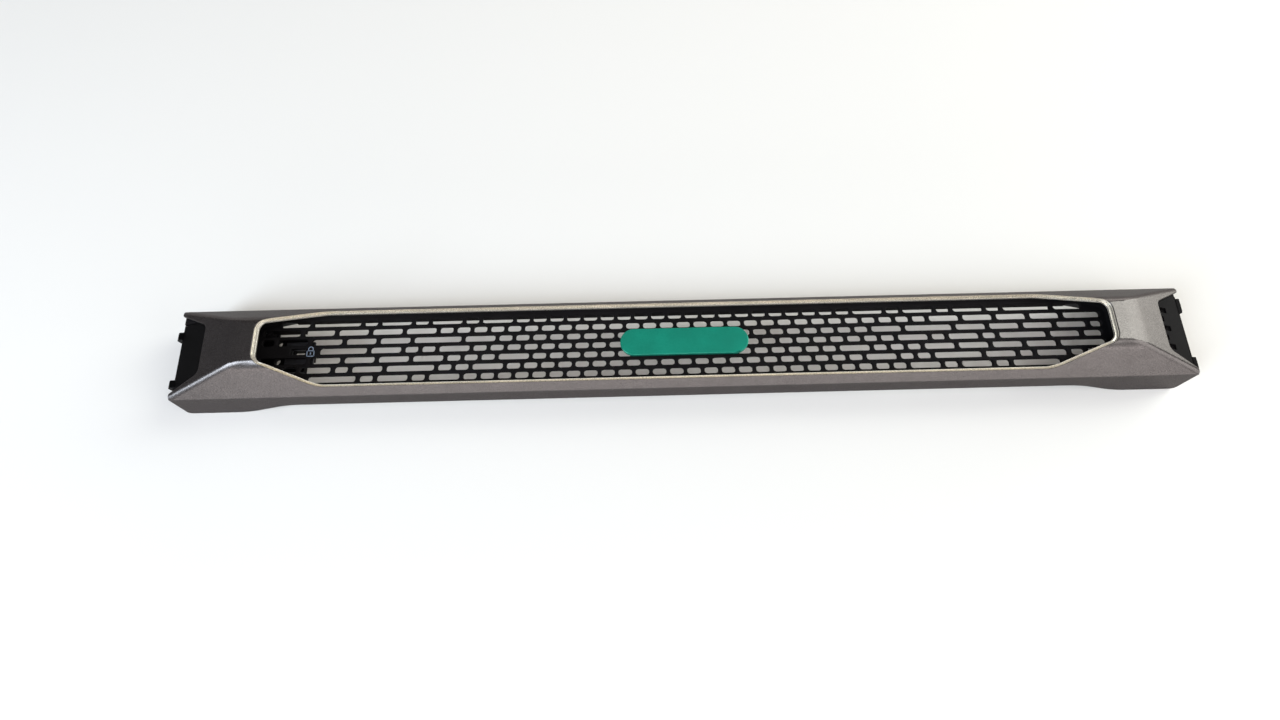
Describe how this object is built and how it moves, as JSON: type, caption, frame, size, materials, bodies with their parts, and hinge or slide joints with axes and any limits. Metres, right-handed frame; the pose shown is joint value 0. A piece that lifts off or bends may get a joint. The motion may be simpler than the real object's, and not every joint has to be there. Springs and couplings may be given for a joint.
{
  "type": "server front bezel",
  "caption": "Front bezel for a 1U rack server: painted shell with a sunken slotted grille, hooked ends and a sprung release latch.",
  "frame": {"origin": "below the middle of the bezel, on the plane of the shell's rear corners", "axes": "+X along the bezel to the right as seen from the front, +Y towards its upper edge as mounted, +Z out of its face; the bezel lies on its back"},
  "size_m": [0.4826, 0.044, 0.0385],
  "materials": {
    "shell_paint": "satin metallic paint on moulded plastic",
    "black_plastic": "fine matt texture",
    "badge_green": "satin metallic green",
    "spring_steel": "bright",
    "plate_steel": "dark zinc",
    "black_screws": "black zinc"
  },
  "bodies": {
    "bezel": {"front_shell": "shell_paint", "grille": "black_plastic", "badge": "badge_green", "badge_clips": "spring_steel", "left_bracket": "black_plastic", "right_bracket": "black_plastic", "latch_spring": "spring_steel", "latch_cover": "black_plastic", "lock_plate": "plate_steel", "end_screws": "black_screws", "cover_screws": "black_screws"},
    "latch": {"release_latch": "black_plastic"}
  },
  "joints": [
    {"name": "latch_slide", "type": "slide", "parent": "bezel", "child": "latch", "axis": [1, 0, 0], "range_m": [0, 0.004], "stiffness_N_per_m": 1500, "springref_m": -0.002, "deforming": ["latch_spring"]}
  ]
}
